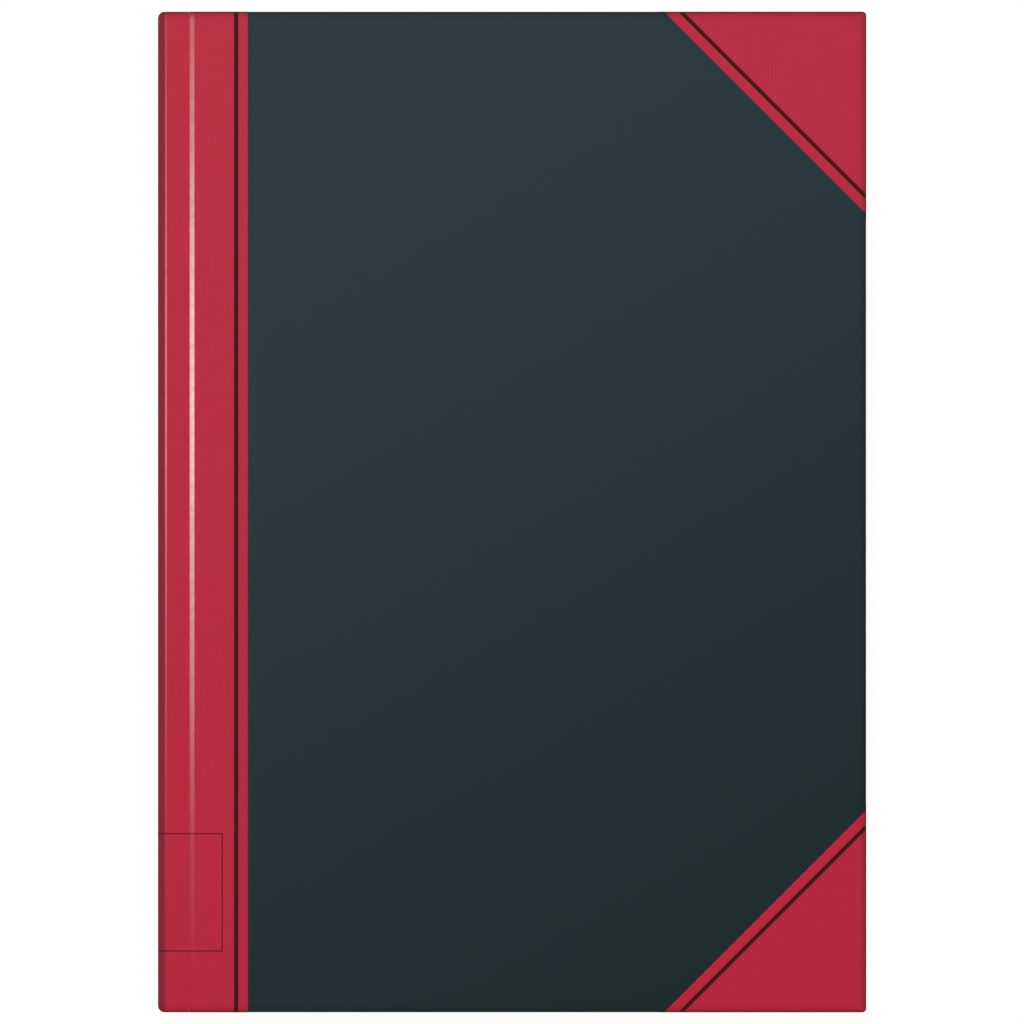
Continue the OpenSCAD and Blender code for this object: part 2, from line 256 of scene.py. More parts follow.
def new_group(name, takes, gives):
    """An empty node group: its tree, the sockets that come in and the inputs of its output node."""
    tree = bpy.data.node_groups.new(name, "ShaderNodeTree")
    for socket, kind in takes.items():
        tree.interface.new_socket(socket, in_out="INPUT", socket_type="NodeSocket" + kind)
    for socket, kind in gives.items():
        tree.interface.new_socket(socket, in_out="OUTPUT", socket_type="NodeSocket" + kind)
    return tree, tree.nodes.new("NodeGroupInput").outputs, tree.nodes.new("NodeGroupOutput").inputs


fibre_group, takes, gives = new_group(
    "paper_fibre", {"Place": "Vector", "Size": "Float"}, {"Tone": "Float", "Height": "Float"}
)
coarse_scale = calc(fibre_group, "DIVIDE", 1.0, takes["Size"])
coarse = put(
    fibre_group, "ShaderNodeTexNoise", {"Vector": takes["Place"], "Scale": coarse_scale, "Detail": 3.0}
)
fine_scale = calc(fibre_group, "MULTIPLY", coarse_scale, 6.0)
fine = put(
    fibre_group, "ShaderNodeTexNoise", {"Vector": takes["Place"], "Scale": fine_scale, "Detail": 2.0}
)
fine_part = calc(fibre_group, "MULTIPLY", fine.outputs[0], 1.0 - COARSE_SHARE)
tone = calc(fibre_group, "MULTIPLY_ADD", coarse.outputs[0], COARSE_SHARE, fine_part)
fibre_group.links.new(tone, gives["Tone"])
fibre_group.links.new(fine.outputs[0], gives["Height"])


def sheet_material(name, low, high, size, bump, roughness, place):
    """Matt paper: from colour low to high by its fibres, which also lift the surface by bump metres.
    place is the output of Texture Coordinate that it is laid out by. Returns what a section adds to."""
    material = bpy.data.materials.new(name)
    material.use_nodes = True
    tree = material.node_tree
    where = put(tree, "ShaderNodeTexCoord").outputs[place]
    fibre = put(tree, "ShaderNodeGroup", {"Place": where, "Size": size}, node_tree=fibre_group)
    colour = mix_colour(tree, fibre.outputs["Tone"], low, high)
    raised = put(
        tree, "ShaderNodeBump", {"Height": fibre.outputs["Height"], "Strength": 1.0, "Distance": bump}
    )
    shader = tree.nodes["Principled BSDF"]
    shader.inputs["Roughness"].default_value = roughness
    shader.inputs["Specular IOR Level"].default_value = 0.2
    tree.links.new(colour, shader.inputs["Base Color"])
    tree.links.new(raised.outputs[0], shader.inputs["Normal"])
    return material, tree, where, colour, shader


def node_box(name):
    """The low and the high corner of a CAD node's box."""
    return [Vector(corner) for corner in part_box(name)]


ruling_group, takes, gives = new_group("page_ruling", {"Place": "Vector"}, {"Ink": "Float"})
place = put(ruling_group, "ShaderNodeSeparateXYZ", {0: takes["Place"]}).outputs
page_low, page_high = node_box("section_2")
from_head = calc(ruling_group, "SUBTRACT", page_high.y - RULING["head"], place["Y"])
off_line = calc(ruling_group, "PINGPONG", from_head, RULING["pitch"] / 2)
inked = calc(ruling_group, "LESS_THAN", off_line, RULING["half_line"])
for value, low, high in (
    (place["X"], page_low.x + 2 * RULING["side"], page_high.x - RULING["side"]),
    (place["Y"], page_low.y + RULING["tail"], page_high.y - RULING["head"] + RULING["half_line"]),
):
    inked = calc(ruling_group, "MULTIPLY", inked, calc(ruling_group, "GREATER_THAN", value, low))
    inked = calc(ruling_group, "MULTIPLY", inked, calc(ruling_group, "LESS_THAN", value, high))
ruling_group.links.new(inked, gives["Ink"])

page_materials = {}
for layout in ("Object", "UV"):
    name = "page_paper_" + layout.lower()
    material, tree, where, colour, shader = sheet_material(
        name, paint(238, 231, 214), paint(248, 243, 230), 3.0 * MM, 0.01 * MM, 0.9, layout
    )
    if layout == "Object":
        stretched = {0: where, 1: LEAF_EDGE_STRETCH}
        stacked = put(tree, "ShaderNodeVectorMath", stretched, operation="MULTIPLY").outputs[0]
        leaf_edges = put(tree, "ShaderNodeTexNoise", {"Vector": stacked, "Scale": 1.0, "Detail": 2.0})
        spread = {0: leaf_edges.outputs[0], 1: 0.35, 2: 0.65, 3: 0.3, 4: 0.0}
        shaded = put(tree, "ShaderNodeMapRange", spread).outputs[0]
        normal = put(tree, "ShaderNodeNewGeometry").outputs["Normal"]
        normal_z = put(tree, "ShaderNodeSeparateXYZ", {0: normal}).outputs["Z"]
        upright = calc(tree, "LESS_THAN", calc(tree, "ABSOLUTE", normal_z), 0.5)
        colour = mix_colour(tree, calc(tree, "MULTIPLY", shaded, upright), colour, paint(205, 190, 160))
    lines = put(tree, "ShaderNodeGroup", {"Place": where}, node_tree=ruling_group)
    faint = calc(tree, "MULTIPLY", lines.outputs["Ink"], INK_SHARE)
    colour = mix_colour(tree, faint, colour, paint(140, 158, 178))
    tree.links.new(colour, shader.inputs["Base Color"])
    page_materials[layout] = material


def dress(material, *names):
    """Gives CAD nodes their material."""
    for name in names:
        for material_slot in nodes[name].material_slots:
            material_slot.material = material


dress(page_materials["Object"], *["section_%d" % number for number in range(1, 7)])


def flat_grid(xs, ys, z):
    """A grid of points, columns at xs and rows at ys, at height z (a number or one value per point)."""
    grid_x, grid_y = np.meshgrid(xs, ys)
    return np.stack([grid_x, grid_y, np.broadcast_to(z, grid_x.shape)], axis=-1)


def thin_sheet(columns, rows, top, thickness):
    """Points and faces of a sheet with its upper side at height top."""
    return closed_sheet(flat_grid(columns, rows, top), flat_grid(columns, rows, top - thickness))


def bent_columns(start, bend, end, near, far):
    """Column places of a sheet: near of them from start to where its bend ends, and far on to its end."""
    return np.concatenate([np.linspace(start, bend, near), np.linspace(bend, end, far)[1:]])


leaf_low, leaf_high = node_box("first_leaves")
leaf_hinge = hinges["first_leaves_bend"]
leaf_bend = Vector((leaf_hinge.x + LEAF_BEND, leaf_hinge.y, leaf_hinge.z))
leaf_step = (leaf_high.z - leaf_low.z - LEAF_T) / (LEAVES - 1)
bend_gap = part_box("front_flyleaf")[0][0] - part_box("front_tipped_strip")[1][0]
leaf_rows = np.linspace(leaf_low.y, leaf_high.y, 5)
leaves = []
for number in range(LEAVES):
    leaf_end = leaf_high.x - TRIM_STEP * (1 + np.sin(TRIM_TURN * number)) / 2
    columns = bent_columns(leaf_low.x - bend_gap, leaf_bend.x, leaf_end, 40, 12)
    leaves.append(thin_sheet(columns, leaf_rows, leaf_high.z - number * leaf_step, LEAF_T))
mesh = make_mesh("turning_leaves", *join(leaves))
turning_leaves = add_piece("turning_leaves", mesh, page_materials["UV"], "page_paper", "first_leaves")
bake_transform(turning_leaves)

# The sewing and the back of the block: one linen thread through the folds, then pliant glue, open gauze
# and a kraft paper lining, one on the other. The gauze has a wing over each joint, glued to the board.
GAUZE_T = 0.1 * MM
GAUZE_RAMP = 2.0 * MM
JOINT_BEND = 0.7 * MM
thread_material = sheet_material(
    "linen_thread", paint(214, 204, 182), paint(236, 229, 212), 0.5 * MM, 0.03 * MM, 0.8, "Object"
)[0]
glue_material = sheet_material(
    "dried_glue", paint(206, 190, 150), paint(222, 208, 172), 2.0 * MM, 0.03 * MM, 0.4, "Object"
)[0]
kraft_material = sheet_material(
    "kraft_paper", paint(150, 112, 74), paint(176, 136, 94), 1.5 * MM, 0.02 * MM, 0.85, "Object"
)[0]
gauze_materials = {}
for layout in ("Object", "UV"):
    name = "mull_gauze_" + layout.lower()
    gauze_materials[layout] = sheet_material(
        name, paint(226, 220, 204), paint(240, 236, 224), 1.0 * MM, 0.03 * MM, 0.95, layout
    )[0]
dress(thread_material, "sewing_thread")
dress(glue_material, "spine_glue")
dress(kraft_material, "kraft_lining")
dress(gauze_materials["Object"], "mull")


def smooth(value, low, high):
    """0 below low, 1 above high and 3t2-2t3 in between."""
    part = np.clip((value - low) / (high - low), 0, 1)
    return part * part * (3 - 2 * part)


hinge_x = hinges["front_cover_hinge"].x
joint_end = hinge_x + JOINT_BEND


def bend_over_joint(piece, side):
    """Bakes the placement of a sheet between the block and a cover into its mesh, on either side."""
    if side == "front":
        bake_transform(piece)
    else:
        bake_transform(piece)


for side in ("front", "back"):
    wing_low, wing_high = node_box(side + "_mull_wing")
    board_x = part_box(side + "_board")[0][0]
    columns = bent_columns(2 * hinge_x - wing_low.x, joint_end, board_x, 18, 8)
    columns = np.concatenate([columns, np.linspace(board_x, board_x + GAUZE_RAMP, 8)[1:], [wing_high.x]])
    rows = np.linspace(wing_low.y, wing_high.y, 5)
    drop = (wing_high.z - wing_low.z - GAUZE_T) * smooth(columns, board_x, board_x + GAUZE_RAMP)
    top = wing_low.z + GAUZE_T + drop if side == "front" else wing_high.z - drop
    name = side + "_gauze_wing"
    mesh = make_mesh(name, *thin_sheet(columns, rows, top, GAUZE_T))
    wing = add_piece(name, mesh, gauze_materials["UV"], "mull_gauze", side + "_mull_wing")
    bend_over_joint(wing, side)

# The endpapers: heavier ivory paper. A flyleaf is tipped to the block along a narrow strip and bends
# beside it; the pastedown is glued to the board and runs over the joint to the spine.
ENDPAPER_T = 0.15 * MM
FLYLEAF_BEND = 3.0 * MM
TURN_IN_SHOWS = 0.1 * MM
TURN_IN_EDGE = 12.0 * MM
TURN_IN_RAMP = 2.5 * MM
BOARD_RAMP = 3.0 * MM
endpaper_materials = {}
for layout in ("Object", "UV"):
    name = "endpaper_" + layout.lower()
    endpaper_materials[layout] = sheet_material(
        name, paint(233, 226, 208), paint(244, 238, 222), 4.0 * MM, 0.015 * MM, 0.88, layout
    )[0]
dress(endpaper_materials["Object"], "front_tipped_strip", "back_tipped_strip")

for side in ("front", "back"):
    fly_low, fly_high = node_box(side + "_flyleaf")
    fly_hinge = hinges[side + "_flyleaf_bend"]
    fly_bend = Vector((fly_hinge.x + FLYLEAF_BEND, fly_hinge.y, fly_hinge.z))
    columns = bent_columns(fly_low.x - bend_gap, fly_bend.x, fly_high.x, 30, 12)
    rows = np.linspace(fly_low.y, fly_high.y, 5)
    name = side + "_flyleaf_sheet"
    mesh = make_mesh(name, *thin_sheet(columns, rows, fly_high.z, fly_high.z - fly_low.z))
    flyleaf = add_piece(name, mesh, endpaper_materials["UV"], "endpaper", side + "_flyleaf")
    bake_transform(flyleaf)

    paste_low, paste_high = node_box(side + "_pastedown")
    board_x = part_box(side + "_board")[0][0]
    columns = bent_columns(paste_low.x, joint_end, board_x, 16, 8)
    columns = np.concatenate([columns, np.linspace(columns[-1], paste_high.x, 90)[1:]])
    rows = np.linspace(paste_low.y, paste_high.y, 120)
    grid_x, grid_y = np.meshgrid(columns, rows)
    inset = np.minimum(fore_x - grid_x, head_y - np.abs(grid_y))
    sunk = TURN_IN_SHOWS * smooth(inset, TURN_IN_EDGE, TURN_IN_EDGE + TURN_IN_RAMP)
    sunk = sunk * smooth(grid_x, board_x, board_x + BOARD_RAMP)
    top = paste_low.z + ENDPAPER_T + sunk if side == "front" else paste_high.z - sunk
    name = side + "_pastedown_sheet"
    mesh = make_mesh(name, *thin_sheet(columns, rows, top, ENDPAPER_T))
    pastedown = add_piece(name, mesh, endpaper_materials["UV"], "endpaper", side + "_pastedown")
    bend_over_joint(pastedown, side)

# The boards and the card of the spine: stiff grey board with darker flecks, cut square. The covering is
# glued round them and hides them.
board_material = sheet_material(
    "grey_board", paint(128, 124, 116), paint(160, 156, 146), 2.0 * MM, 0.03 * MM, 0.95, "Object"
)[0]
dress(board_material, "front_board", "back_board", "spine_card")

# The cover paper: matt slate paper glued over each board from the spine cloth to the corners and
# turned in at head, tail and fore edge. It lies a little lower than the cloth, and runs under it.
COVER_EDGE_R = 0.35 * MM
PAPER_DROP = 0.05 * MM
PAPER_T = 0.12 * MM
PAPER_TURN = 12.0 * MM
TUCK = 2.0 * MM
CORNER_LEG = 61.25 * MM
EDGE_SHADE_REACH = 0.7 * MM
SHADE_GRADIENT_SLOPE = (1.4, -2.4)
SHADE_GRADIENT_FROM = -0.48
SHADE_GRADIENT_TO = 0.52
covered_t = {
    "front": front_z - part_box("front_hinge_cloth")[0][2],
    "back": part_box("back_hinge_cloth")[1][2] - back_z,
}
strip_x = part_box("front_hinge_cloth")[1][0]


def wrap_path(depth, turn, radius):
    """The way round a board edge of that depth: a quarter circle out and down, straight down, a quarter
    circle back and straight in by turn. Returns the distance past the edge, the depth, the length walked
    and the angle turned at each point, from the start of the fold."""
    bend = np.radians(np.linspace(0, 90, 7))
    turned = np.concatenate([bend, bend + np.pi / 2, [np.pi]])
    out = radius * np.sin(turned) - radius
    out[-1] = -turn
    down = radius * (1 - np.cos(turned)) + (depth - 2 * radius) * (np.arange(len(turned)) >= len(bend))
    walked = np.concatenate([[0], np.cumsum(np.hypot(np.diff(out), np.diff(down)))])
    return out, down, walked, turned


def lay(side, x, y, depth):
    """Points at a depth under a cover's outer face."""
    z = front_z - depth if side == "front" else back_z + depth
    return np.stack(np.broadcast_arrays(x, y, z), axis=-1)


def patch(side, points, flat, turned=False):
    """A grid as points, faces and flat places. It faces out of the front cover, or of the back one."""
    faces = quads(*points.shape[:2])
    if (side == "back") != turned:
        faces = faces[:, ::-1]
    return points.reshape(-1, 3), faces, flat.reshape(-1, 2)


def thicken(piece, thickness):
    """Gives an open sheet its thickness, inwards."""
    solid = piece.modifiers.new("thickness", "SOLIDIFY")
    solid.thickness = thickness
    solid.offset = -1.0


# Painted edge shade: a mask that is 1 on the fore edge, head and tail of a cover and falls off within
# Reach of them; Inside gives the distance in from these edges.
edge_shade_group, takes, gives = new_group(
    "soiled_edge", {"Place": "Vector", "Reach": "Float"}, {"Mask": "Float", "Inside": "Float"}
)
place = put(edge_shade_group, "ShaderNodeSeparateXYZ", {0: takes["Place"]}).outputs
to_fore = calc(edge_shade_group, "SUBTRACT", fore_x, place["X"])
to_end = calc(edge_shade_group, "SUBTRACT", head_y, calc(edge_shade_group, "ABSOLUTE", place["Y"]))
inside = calc(edge_shade_group, "MINIMUM", to_fore, to_end)
edge_shade_group.links.new(inside, gives["Inside"])
from_edge = calc(edge_shade_group, "DIVIDE", calc(edge_shade_group, "ABSOLUTE", inside), takes["Reach"])
falling = calc(edge_shade_group, "EXPONENT", calc(edge_shade_group, "MULTIPLY", from_edge, -1.0))
edge_shade_group.links.new(falling, gives["Mask"])

# Painted shade gradient: a mask from 0 towards the head and the spine to 1 towards the fore edge and the
# tail.
shade_gradient_group, takes, gives = new_group("kept_from_light", {"Place": "Vector"}, {"Mask": "Float"})
place = put(shade_gradient_group, "ShaderNodeSeparateXYZ", {0: takes["Place"]}).outputs
towards_tail = calc(shade_gradient_group, "MULTIPLY", place["Y"], SHADE_GRADIENT_SLOPE[1])
slope = calc(shade_gradient_group, "MULTIPLY_ADD", place["X"], SHADE_GRADIENT_SLOPE[0], towards_tail)
spread = put(shade_gradient_group, "ShaderNodeMapRange", {0: slope, 1: SHADE_GRADIENT_FROM, 2: SHADE_GRADIENT_TO})
shade_gradient_group.links.new(spread.outputs[0], gives["Mask"])

slate_material, tree, where, colour, shader = sheet_material(
    "slate_cover_paper", paint(37, 51, 56), paint(41, 55, 60), 1.2 * MM, 0.012 * MM, 0.7, "UV"
)
# Painted shade: a gradient darker towards the fore edge and the tail.
gradient_shade = put(tree, "ShaderNodeGroup", {"Place": where}, node_tree=shade_gradient_group)
colour = mix_colour(tree, calc(tree, "POWER", gradient_shade.outputs[0], 1.4), colour, paint(21, 32, 35))
shader.inputs["Specular IOR Level"].default_value = 0.08
# Painted shade along the fore edge, head and tail, near black at the edge.
edge_shade = put(tree, "ShaderNodeGroup", {"Place": where, "Reach": EDGE_SHADE_REACH}, node_tree=edge_shade_group)
colour = mix_colour(tree, edge_shade.outputs["Mask"], colour, paint(6, 7, 8))
tree.links.new(colour, shader.inputs["Base Color"])

paper_from = strip_x - TUCK
cut = fore_x + head_y - CORNER_LEG + TUCK * np.sqrt(2)
face_end_x = fore_x - PAPER_DROP - COVER_EDGE_R
face_end_y = head_y - PAPER_DROP - COVER_EDGE_R
slant_x = cut - face_end_y
for side in ("front", "back"):
    columns = bent_columns(paper_from, slant_x, face_end_x, 30, 14)
    height = np.minimum(face_end_y, cut - columns)
    share = np.linspace(-1, 1, 41)[:, None]
    face = lay(side, columns[None, :], share * height, PAPER_DROP)
    parts = [patch(side, face, face[..., :2])]
    out, down, walked = wrap_path(covered_t[side] - 2 * PAPER_DROP, PAPER_TURN, COVER_EDGE_R)[:3]
    along = np.linspace(0, 1, 30)[None, :]
    flap_x = paper_from + along * (slant_x - walked[:, None] - paper_from)
    for end in (1, -1):
        flap = lay(side, flap_x, end * (head_y - PAPER_DROP + out[:, None]), PAPER_DROP + down[:, None])
        flat = np.stack(np.broadcast_arrays(flap_x, end * (face_end_y + walked[:, None])), axis=-1)
        parts.append(patch(side, flap, flat, turned=end < 0))
    flap_y = share * (cut - face_end_x - walked[None, :])
    flap = lay(side, fore_x - PAPER_DROP + out[None, :], flap_y, PAPER_DROP + down[None, :])
    flat = np.stack(np.broadcast_arrays(face_end_x + walked[None, :], flap_y), axis=-1)
    parts.append(patch(side, flap, flat))
    name = side + "_cover_paper_sheet"
    mesh = make_mesh(name, *join(parts))
    paper = add_piece(name, mesh, slate_material, "cover_paper", side + "_cover_paper")
    thicken(paper, PAPER_T)
    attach(paper, side + "_cover")

# The corners: triangles of red book cloth drawn over the fore corners of each board and mitred
# inside, with a dark rule stamped into the cloth along the slanting edge.
CLOTH_T = 0.22 * MM
CORNER_R = 1.2 * MM
CORNER_TURN = 9.0 * MM
LEAST_TURN = COVER_EDGE_R + 0.05 * MM
STAMP = 0.05 * MM
STAMP_SOFT = 0.12 * MM
STAMP_CLEAR = 0.2 * MM
RULE_OVER = 0.2 * MM
CUT_EDGE_R = 0.14 * MM
FOIL_T = 0.02 * MM
WEAVE = 0.42 * MM
WEAVE_BUMP = 0.04 * MM
SLUB_STRETCH = ((0.9, 0.035, 1.0), (0.035, 0.9, 1.0))

weave_group, takes, gives = new_group(
    "cloth_weave", {"Place": "Vector"}, {"Height": "Float", "Thread": "Float"}
)
counted = {0: takes["Place"], 1: (1 / WEAVE,) * 3}
threads = put(weave_group, "ShaderNodeVectorMath", counted, operation="MULTIPLY").outputs[0]
place = put(weave_group, "ShaderNodeSeparateXYZ", {0: threads}).outputs
humps = []
for axis in ("X", "Y"):
    within = calc(weave_group, "FRACT", place[axis])
    humps.append(calc(weave_group, "SINE", calc(weave_group, "MULTIPLY", within, np.pi)))
across, along = humps
column = calc(weave_group, "FLOOR", place["X"])
cell = calc(weave_group, "ADD", column, calc(weave_group, "FLOOR", place["Y"]))
half_cell = calc(weave_group, "FRACT", calc(weave_group, "MULTIPLY", cell, 0.5))
weft_up = calc(weave_group, "GREATER_THAN", half_cell, 0.25)
warp = calc(weave_group, "MULTIPLY", across, calc(weave_group, "MULTIPLY_ADD", along, 0.45, 0.55))
weft = calc(weave_group, "MULTIPLY", along, calc(weave_group, "MULTIPLY_ADD", across, 0.45, 0.55))
raised = put(weave_group, "ShaderNodeMix", {0: weft_up, 2: warp, 3: weft}).outputs[0]
weave_group.links.new(raised, gives["Height"])
slubs = []
for stretch in SLUB_STRETCH:
    drawn = put(weave_group, "ShaderNodeVectorMath", {0: threads, 1: stretch}, operation="MULTIPLY")
    uneven = {"Vector": drawn.outputs[0], "Scale": 1.0, "Detail": 2.0}
    slubs.append(put(weave_group, "ShaderNodeTexNoise", uneven).outputs[0])
slub = put(weave_group, "ShaderNodeMix", {0: weft_up, 2: slubs[0], 3: slubs[1]}).outputs[0]
weave_group.links.new(slub, gives["Thread"])


def cloth_material(name):
    """Red book cloth, laid out by its UV: plain weave of uneven threads, with painted shade in the weave's
    hollows, a painted shade gradient towards the fore edge and the tail, and painted shade along the
    cover's edges.
    Returns the material, its tree, the UV, the distance inside the edges, the colour and the shader."""
    material = bpy.data.materials.new(name)
    material.use_nodes = True
    tree = material.node_tree
    flat = put(tree, "ShaderNodeTexCoord").outputs["UV"]
    weave = put(tree, "ShaderNodeGroup", {"Place": flat}, node_tree=weave_group)
    colour = mix_colour(tree, weave.outputs["Thread"], paint(172, 34, 54), paint(190, 52, 72))
    height = weave.outputs["Height"]
    # Painted shade in the hollows of the weave.
    hollow_shade = put(tree, "ShaderNodeMapRange", {0: height, 1: 0.0, 2: 0.7, 3: 0.25, 4: 0.0})
    colour = mix_colour(tree, hollow_shade.outputs[0], colour, paint(120, 16, 30))
    # Painted shade gradient, darker towards the fore edge and the tail.
    gradient_shade = put(tree, "ShaderNodeGroup", {"Place": flat}, node_tree=shade_gradient_group)
    colour = mix_colour(tree, calc(tree, "MULTIPLY", gradient_shade.outputs[0], 0.6), colour, paint(180, 22, 52))
    # Painted shade along the cover's fore edge, head and tail.
    edge_shade = put(tree, "ShaderNodeGroup", {"Place": flat, "Reach": EDGE_SHADE_REACH}, node_tree=edge_shade_group).outputs
    colour = mix_colour(tree, calc(tree, "MULTIPLY", edge_shade["Mask"], 0.95), colour, paint(40, 10, 14))
    bump = put(tree, "ShaderNodeBump", {"Height": height, "Strength": 0.5, "Distance": WEAVE_BUMP})
    shader = tree.nodes["Principled BSDF"]
    shader.inputs["Roughness"].default_value = 0.8
    shader.inputs["Specular IOR Level"].default_value = 0.15
    tree.links.new(colour, shader.inputs["Base Color"])
    tree.links.new(bump.outputs[0], shader.inputs["Normal"])
    return material, tree, flat, edge_shade["Inside"], colour, shader


def stamped(tree, colour, at, low, high, inside):
    """Colour with the dark rule where at is between low and high, just over the edge of the board."""
    on_rule = calc(tree, "COMPARE", at, (low + high) / 2, (high - low) / 2)
    on_face = calc(tree, "GREATER_THAN", inside, -RULE_OVER)
    return mix_colour(tree, calc(tree, "MULTIPLY", on_rule, on_face), colour, paint(64, 18, 19))


foil_material, tree, where, colour, shader = sheet_material(
    "rule_foil", paint(58, 15, 16), paint(70, 22, 22), 1.5 * MM, 0.01 * MM, 0.6, "UV"
)
shader.inputs["Specular IOR Level"].default_value = 0.03


def pressed(value, low, high):
    """The depth that the stamp presses between low and high, with soft shoulders."""
    return STAMP * (smooth(value, low - STAMP_SOFT, low) - smooth(value, high, high + STAMP_SOFT))


rule_box = node_box("front_spine_rule")
rule_width = rule_box[1].x - rule_box[0].x
rule_from = strip_x - rule_box[1].x
rule_to = rule_from + rule_width
corner_material, tree, flat, inside, colour, shader = cloth_material("corner_cloth")
place = put(tree, "ShaderNodeSeparateXYZ", {0: flat}).outputs
slant_at = calc(tree, "ADD", place["X"], calc(tree, "ABSOLUTE", place["Y"]))
slant_at = calc(tree, "SUBTRACT", slant_at, fore_x + head_y - CORNER_LEG)
slant_at = calc(tree, "DIVIDE", slant_at, np.sqrt(2))
colour = stamped(tree, colour, slant_at, rule_from, rule_to, inside)
tree.links.new(colour, shader.inputs["Base Color"])

row_reach = CORNER_LEG / np.sqrt(2) - np.sqrt(2) * COVER_EDGE_R
round_r = CORNER_R - COVER_EDGE_R
round_at = row_reach - np.sqrt(2) * round_r
straight_end = round_at + round_r / np.sqrt(2)
row_at = np.concatenate(
    [
        CUT_EDGE_R * (1 - np.cos(np.radians(np.linspace(0, 90, 6)))),
        np.linspace(CUT_EDGE_R, rule_from - STAMP_CLEAR, 8)[1:],
        np.linspace(rule_from - STAMP_SOFT, rule_from, 5),
        np.linspace(rule_from, rule_to, 4)[1:-1],
        np.linspace(rule_to, rule_to + STAMP_SOFT, 5),
        np.linspace(rule_to + STAMP_CLEAR, straight_end, 40),
        round_at + round_r * np.sin(np.radians(np.linspace(45, 90, 9)))[1:],
    ]
)
rounded = np.sqrt(np.maximum(round_r**2 - (row_at - round_at) ** 2, 0))
row_half = np.where(row_at <= straight_end, row_reach - row_at, rounded)
to_top = CUT_EDGE_R - np.minimum(row_at, CUT_EDGE_R)
edge_roll = CUT_EDGE_R - np.sqrt(np.maximum(CUT_EDGE_R**2 - to_top**2, 0))
row_depth = edge_roll + pressed(row_at, rule_from, rule_to)
from_corner = -CORNER_LEG / 2


def slanted(at, across):
    """Places relative to the corner of a point at a distance from the slanting edge and along it."""
    return from_corner + (at + across) / np.sqrt(2), from_corner + (at - across) / np.sqrt(2)


for side in ("front", "back"):
    for end, end_name in ((1, "head"), (-1, "tail")):
        share = np.linspace(-1, 1, 41)[None, :]
        in_x, in_y = slanted(row_at[:, None], share * row_half[:, None])
        face = lay(side, fore_x + in_x, end * (head_y + in_y), row_depth[:, None])
        parts = [patch(side, face, face[..., :2], turned=end < 0)]

        base_x, base_y = slanted(row_at, -row_half)
        round_x, round_y = slanted(round_at, 0.0)
        curved = row_at > straight_end
        away_x = np.where(curved, (base_x - round_x) / round_r, 0.0)
        away_y = np.where(curved, (base_y - round_y) / round_r, 1.0)
        out, down, walked, turned = wrap_path(covered_t[side], CORNER_TURN, COVER_EDGE_R)
        reach = np.minimum(CORNER_TURN, np.maximum(-base_x, LEAST_TURN))
        step = COVER_EDGE_R + out[:, None] * np.ones(len(row_at))
        step[-1] = COVER_EDGE_R - reach
        step = step - row_depth * np.sin(turned)[:, None]
        lean = walked[:, None] * (1 - row_at / row_at[-1])
        wrap_x = base_x + away_x * step - lean
        wrap_y = base_y + away_y * step
        depth = down[:, None] + row_depth * np.cos(turned)[:, None]
        flat_x = base_x + away_x * walked[:, None] - lean
        flat_y = base_y + away_y * walked[:, None]
        head_wrap = lay(side, fore_x + wrap_x, end * (head_y + wrap_y), depth)
        head_flat = np.stack([fore_x + flat_x, end * (head_y + flat_y)], axis=-1)
        parts.append(patch(side, head_wrap, head_flat, turned=end < 0))
        fore_wrap = lay(side, fore_x + wrap_y, end * (head_y + wrap_x), depth)
        fore_flat = np.stack([fore_x + flat_y, end * (head_y + flat_x)], axis=-1)
        parts.append(patch(side, fore_wrap, fore_flat, turned=end > 0))
        name = "_".join([side, end_name, "corner_cloth"])
        node = "_".join([side, end_name, "corner"])
        corner = add_piece(name, make_mesh(name, *join(parts)), corner_material, "book_cloth", node)
        thicken(corner, CLOTH_T)
        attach(corner, side + "_cover")

        rule_at = np.array([rule_from, rule_to])[:, None]
        in_x, in_y = slanted(rule_at, share * (row_reach - rule_at))
        foil_x = fore_x + in_x
        foil_y = end * (head_y + in_y)
        foil_faces = [lay(side, foil_x, foil_y, STAMP - lift) for lift in (FOIL_T, -FOIL_T)]
        points, faces = closed_sheet(*foil_faces)
        mirrored = (side == "back") != (end < 0)
        name = "_".join([side, end_name, "corner_foil"])
        mesh = make_mesh(name, points, faces[:, ::-1] if mirrored else faces)
        foil = add_piece(name, mesh, foil_material, "rule_foil", node + "_rule")
        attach(foil, side + "_cover")
        flap = covered_t[side] + CORNER_TURN

# The spine cloth: one strip of the same cloth, here as two halves that meet along the middle of the
# spine. It is glued round the back, pressed into the joint, drawn up over the edge of the board and
# turned in at head and tail.
SPINE_FOLD = 1.04 * MM
JOINT_FOLD = 0.6 * MM
JOINT_CREASE_R = 0.3 * MM
BOARD_EDGE_R = 1.4 * MM
SPINE_CORNER_R = 2.0 * MM
SPINE_TURN = 6.0 * MM
BOARD_TURN = 12.0 * MM
JOINT_TURN = 1.6 * MM
CARD_RAMP = (0.2 * MM, 0.5 * MM)
TURN_RAMP = (1.0 * MM, 2.2 * MM)
SHADE_RUN = 1.2 * MM
